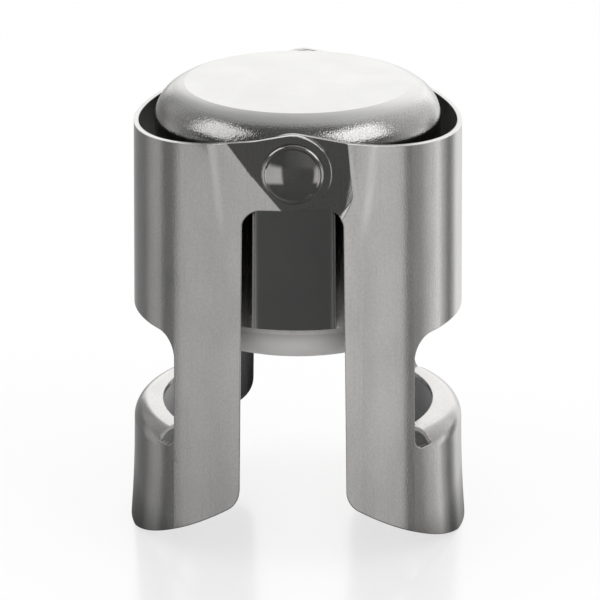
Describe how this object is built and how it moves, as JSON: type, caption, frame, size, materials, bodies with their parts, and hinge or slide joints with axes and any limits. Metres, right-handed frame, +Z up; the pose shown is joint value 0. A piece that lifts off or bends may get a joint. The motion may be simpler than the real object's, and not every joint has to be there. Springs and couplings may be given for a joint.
{
  "type": "wine bottle stopper",
  "caption": "Domed steel cap with hinged wings whose lips hook under a sparkling wine bottle's collar while a sprung silicone seal presses on its mouth.",
  "frame": {"origin": "centre of the plane the feet stand on, on the cap's axis", "axes": "+Z up along the cap's axis, +Y along the hinge axis towards the rear rivet, -X towards the left wing"},
  "size_m": [0.0424, 0.041, 0.0569],
  "materials": {
    "wing_steel": "fine satin stainless steel with bright cut edges",
    "cap_steel": "satin dome, polished side wall",
    "rivet_steel": "polished stainless steel",
    "small_steel": "plain stainless steel",
    "spring_steel": "drawn spring wire",
    "liner_plastic": "moulded, matt",
    "white_plastic": "moulded, slightly glossy",
    "white_silicone": "smooth silicone, satin"
  },
  "bodies": {
    "cap": {"cap_shell": "cap_steel", "inner_housing": "liner_plastic", "compression_spring": "spring_steel", "front_rivet": "rivet_steel", "rear_rivet": "rivet_steel", "front_spacer": "small_steel", "rear_spacer": "small_steel", "front_burr_washer": "small_steel", "rear_burr_washer": "small_steel"},
    "plunger": {"seal_carrier": "white_plastic", "stopper_seal": "white_silicone", "seal_washer": "small_steel", "seal_screw": "small_steel"},
    "left_wing": {"left_arm": "wing_steel"},
    "right_wing": {"right_arm": "wing_steel"}
  },
  "joints": [
    {"name": "left_wing_hinge", "type": "hinge", "parent": "cap", "child": "left_wing", "pos_m": [0, 0, 0.05075], "axis": [0, 1, 0], "range_deg": [-4, 48]},
    {"name": "right_wing_hinge", "type": "hinge", "parent": "cap", "child": "right_wing", "pos_m": [0, 0, 0.05075], "axis": [0, -1, 0], "range_deg": [-4, 48]},
    {"name": "plunger_slide", "type": "slide", "parent": "cap", "child": "plunger", "axis": [0, 0, 1], "range_m": [0, 0.006], "stiffness_N_per_m": 1100, "deforming": ["compression_spring"]}
  ]
}
